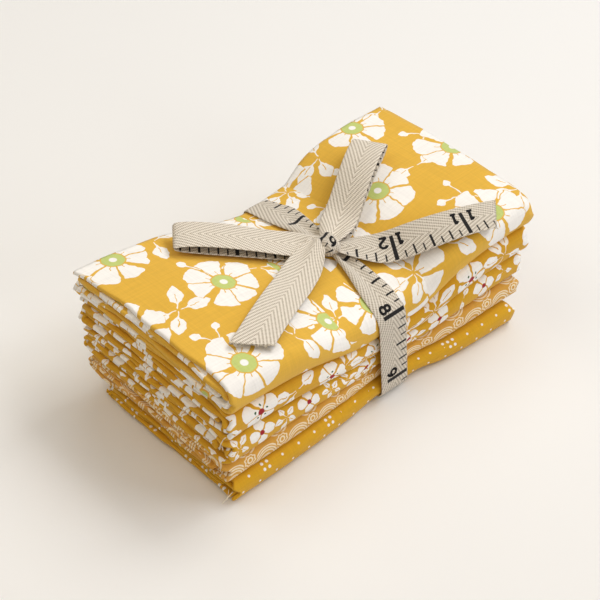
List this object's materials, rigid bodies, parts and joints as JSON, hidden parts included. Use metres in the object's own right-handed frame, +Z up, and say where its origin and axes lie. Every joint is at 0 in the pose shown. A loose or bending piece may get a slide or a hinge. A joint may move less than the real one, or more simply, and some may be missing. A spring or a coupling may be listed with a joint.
{
  "type": "fat quarter bundle",
  "caption": "Stack of folded printed quilting cottons, pressed in at the waist by a flat herringbone tape tied in a bow on top.",
  "frame": {"origin": "on the surface it lies on, under the middle of the bundle's bounding box", "axes": "+X along the bundle's long side, +Y from the folded near side to the far side where the raw edges are, +Z up"},
  "size_m": [0.1455, 0.0816, 0.056],
  "materials": {
    "blossom_print": "matte printed plain weave",
    "leaf_print": "matte printed plain weave",
    "sprig_print": "matte printed plain weave",
    "medallion_print": "matte printed plain weave",
    "dot_print": "matte printed plain weave",
    "tape_twill": "matte unbleached herringbone twill"
  },
  "bodies": {
    "root": {"blossom_cotton": "blossom_print", "leaf_cotton": "leaf_print", "sprig_cotton": "sprig_print", "medallion_cotton": "medallion_print", "dot_cotton": "dot_print", "tape_tie": "tape_twill"}
  },
  "joints": []
}
